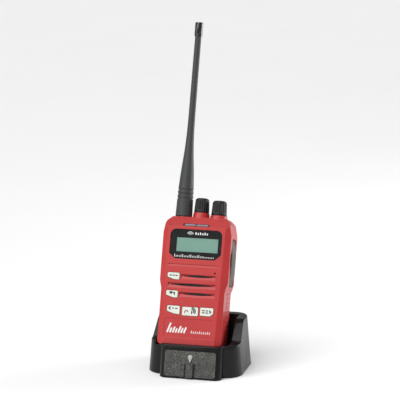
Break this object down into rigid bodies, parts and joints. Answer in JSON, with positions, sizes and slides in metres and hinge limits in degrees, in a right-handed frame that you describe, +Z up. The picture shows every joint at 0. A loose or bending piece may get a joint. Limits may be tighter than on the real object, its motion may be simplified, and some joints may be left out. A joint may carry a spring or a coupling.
{
  "type": "portable radio",
  "caption": "Handheld two-way radio with whip antenna, top knobs and front keys, standing in a desktop charging cup with raised side wings.",
  "frame": {"origin": "centre of the charger's main base on the surface it stands on", "axes": "+Z up, +X to the right seen from the front, -Y towards the front"},
  "size_m": [0.072, 0.106, 0.2537],
  "materials": {
    "red_abs": "moulded red ABS, satin",
    "lens_acrylic": "clear acrylic, polished",
    "mask_black": "printed black mask",
    "lcd_green": "reflective grey-green LCD",
    "frame_steel": "pressed steel",
    "key_white": "moulded off-white keys",
    "silicone_grey": "silicone rubber",
    "circuit_green": "glass-epoxy laminate",
    "speaker_metal": "pressed steel basket",
    "cast_black": "die-cast aluminium, black finish",
    "screw_steel": "zinc-plated steel",
    "light_frame": "black plastic",
    "light_bars": "frosted light diffuser",
    "shaft_metal": "turned steel",
    "knob_black": "black moulded ABS with flutes",
    "brass_nickel": "nickel-plated brass",
    "antenna_rubber": "moulded black rubber, satin",
    "cap_gloss": "glossy black plastic",
    "ptt_rubber": "black rubber",
    "cover_rubber": "dark grey rubber",
    "battery_black": "textured black plastic",
    "cell_wrap": "aluminium cell cans",
    "contact_gold": "gold-plated brass",
    "clip_black": "black plastic",
    "spring_steel": "spring steel wire",
    "cradle_black": "black ABS, satin",
    "panel_texture": "coarse spark-textured dark plastic",
    "charge_lens": "frosted light lens",
    "mat_rubber": "soft rubber"
  },
  "bodies": {
    "charger": {"cradle_shell": "cradle_black", "front_panel": "panel_texture", "charge_light": "charge_lens", "pin_block": "cradle_black", "charge_board": "circuit_green", "dc_inlet": "mask_black", "base_plate": "cradle_black", "base_screws": "screw_steel", "rubber_mat": "mat_rubber", "pin_spring_left": "spring_steel", "pin_spring_right": "spring_steel"},
    "radio": {"front_case": "red_abs", "display_lens": "lens_acrylic", "lens_mask": "mask_black", "lcd_panel": "lcd_green", "lcd_frame": "frame_steel", "keypad_mat": "silicone_grey", "key_board": "circuit_green", "speaker": "speaker_metal", "microphone": "speaker_metal", "main_board": "circuit_green", "shield_can": "frame_steel", "chassis": "cast_black", "case_screws": "screw_steel", "status_frame": "light_frame", "status_lights": "light_bars", "volume_pot": "shaft_metal", "channel_encoder": "shaft_metal", "bushing_nuts": "brass_nickel", "antenna_socket": "brass_nickel", "antenna_sleeve": "antenna_rubber", "antenna_core": "spring_steel", "antenna_cap": "cap_gloss", "cover_pin": "screw_steel", "jack_block": "battery_black", "battery_case": "battery_black", "battery_lid": "battery_black", "battery_cells": "cell_wrap", "charge_contacts": "contact_gold", "latch_guides": "cast_black", "clip_base": "clip_black", "clip_pin": "screw_steel", "clip_spring": "spring_steel", "clip_screws": "screw_steel"},
    "volume_control": {"volume_knob": "knob_black", "volume_shaft": "shaft_metal"},
    "channel_control": {"channel_knob": "knob_black", "channel_shaft": "shaft_metal"},
    "ptt": {"ptt_bar": "ptt_rubber"},
    "side_button": {"side_key": "ptt_rubber"},
    "jack_flap": {"jack_cover": "cover_rubber"},
    "latch": {"battery_latch": "clip_black"},
    "clip": {"belt_clip": "clip_black"},
    "pin_left": {"contact_pin_left": "contact_gold"},
    "pin_right": {"contact_pin_right": "contact_gold"},
    "mode_key_cap": {"mode_key": "key_white"},
    "return_key_cap": {"return_key": "key_white"},
    "scan_key_cap": {"scan_key": "key_white"},
    "talk_key_cap": {"talk_key": "key_white"},
    "menu_key_cap": {"menu_key": "key_white"}
  },
  "joints": [
    {"name": "radio_lift", "type": "slide", "parent": "charger", "child": "radio", "axis": [0, 0.3256, 0.9455], "range_m": [0, 0.05]},
    {"name": "volume_turn", "type": "hinge", "parent": "radio", "child": "volume_control", "pos_m": [-0.0039, 0.01949, 0.11475], "axis": [0, -0.3256, -0.9455], "range_deg": [0, 270]},
    {"name": "channel_turn", "type": "hinge", "parent": "radio", "child": "channel_control", "pos_m": [0.0097, 0.01917, 0.1138], "axis": [0, -0.3256, -0.9455], "continuous": true},
    {"name": "ptt_press", "type": "slide", "parent": "radio", "child": "ptt", "axis": [1, 0, 0], "range_m": [0, 0.001], "stiffness_N_per_m": 900, "springref_m": -0.0006},
    {"name": "side_press", "type": "slide", "parent": "radio", "child": "side_button", "axis": [1, 0, 0], "range_m": [0, 0.0006], "stiffness_N_per_m": 700, "springref_m": -0.0005},
    {"name": "mode_key_press", "type": "slide", "parent": "radio", "child": "mode_key_cap", "axis": [0, 0.9455, -0.3256], "range_m": [0, 0.0006], "stiffness_N_per_m": 600, "springref_m": -0.0006},
    {"name": "return_key_press", "type": "slide", "parent": "radio", "child": "return_key_cap", "axis": [0, 0.9455, -0.3256], "range_m": [0, 0.0006], "stiffness_N_per_m": 600, "springref_m": -0.0006},
    {"name": "scan_key_press", "type": "slide", "parent": "radio", "child": "scan_key_cap", "axis": [0, 0.9455, -0.3256], "range_m": [0, 0.0006], "stiffness_N_per_m": 600, "springref_m": -0.0006},
    {"name": "talk_key_press", "type": "slide", "parent": "radio", "child": "talk_key_cap", "axis": [0, 0.9455, -0.3256], "range_m": [0, 0.0006], "stiffness_N_per_m": 600, "springref_m": -0.0006},
    {"name": "menu_key_press", "type": "slide", "parent": "radio", "child": "menu_key_cap", "axis": [0, 0.9455, -0.3256], "range_m": [0, 0.0006], "stiffness_N_per_m": 600, "springref_m": -0.0006},
    {"name": "cover_swing", "type": "hinge", "parent": "radio", "child": "jack_flap", "pos_m": [0.0222, 0.01584, 0.07529], "axis": [0, 0.3256, 0.9455], "range_deg": [0, 95]},
    {"name": "latch_slide", "type": "slide", "parent": "radio", "child": "latch", "axis": [0, 0.3256, 0.9455], "range_m": [0, 0.0018], "stiffness_N_per_m": 250, "springref_m": -0.001},
    {"name": "clip_swing", "type": "hinge", "parent": "radio", "child": "clip", "pos_m": [-0.0035, 0.03556, 0.08278], "axis": [1, 0, 0], "range_deg": [0, 14], "stiffness_Nm_per_rad": 0.05, "springref_deg": -17.19},
    {"name": "pin_left_press", "type": "slide", "parent": "charger", "child": "pin_left", "axis": [0, 0.3256, 0.9455], "range_m": [-0.0008, 0], "stiffness_N_per_m": 150, "springref_m": 0.0006, "deforming": ["pin_spring_left"]},
    {"name": "pin_right_press", "type": "slide", "parent": "charger", "child": "pin_right", "axis": [0, 0.3256, 0.9455], "range_m": [-0.0008, 0], "stiffness_N_per_m": 150, "springref_m": 0.0006, "deforming": ["pin_spring_right"]}
  ]
}
